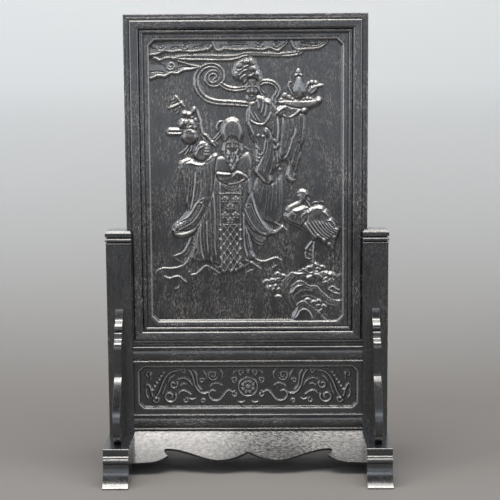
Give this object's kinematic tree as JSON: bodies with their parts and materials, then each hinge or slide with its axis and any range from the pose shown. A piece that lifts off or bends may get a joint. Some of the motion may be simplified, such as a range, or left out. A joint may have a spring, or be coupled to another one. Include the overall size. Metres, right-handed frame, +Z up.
{
  "type": "table screen",
  "caption": "Free-standing dark hardwood table screen: a relief-carved panel in a mitred moulded frame that lifts out of a joined stand with scrolled spandrels.",
  "frame": {"origin": "on the table, under the middle of the stand", "axes": "+Z up, front of the screen towards -Y, +X to the viewer's right when looking at the front"},
  "size_m": [0.2834, 0.157, 0.458],
  "materials": {
    "dark_wood": "near-black hardwood, waxed satin polish",
    "carved_wood": "near-black hardwood, carved and waxed",
    "peg_wood": "brown hardwood pegs and loose tongues"
  },
  "bodies": {
    "stand": {"left_post": "dark_wood", "right_post": "dark_wood", "left_foot": "dark_wood", "right_foot": "dark_wood", "front_left_spandrel": "dark_wood", "front_right_spandrel": "dark_wood", "back_left_spandrel": "dark_wood", "back_right_spandrel": "dark_wood", "upper_cross_rail": "dark_wood", "lower_cross_rail": "dark_wood", "waist_panel": "carved_wood", "front_apron": "dark_wood", "back_apron": "dark_wood", "spandrel_post_tongues": "peg_wood", "spandrel_foot_tongues": "peg_wood", "cross_rail_pegs": "peg_wood", "post_wedges": "peg_wood", "apron_pins": "peg_wood"},
    "screen": {"carved_panel": "carved_wood", "frame_top_rail": "dark_wood", "frame_bottom_rail": "dark_wood", "frame_left_stile": "dark_wood", "frame_right_stile": "dark_wood", "upper_batten": "dark_wood", "lower_batten": "dark_wood", "frame_corner_pegs": "peg_wood"}
  },
  "joints": [
    {"name": "screen_lift", "type": "slide", "parent": "stand", "child": "screen", "axis": [0, 0, 1], "range_m": [0, 0.12]}
  ]
}
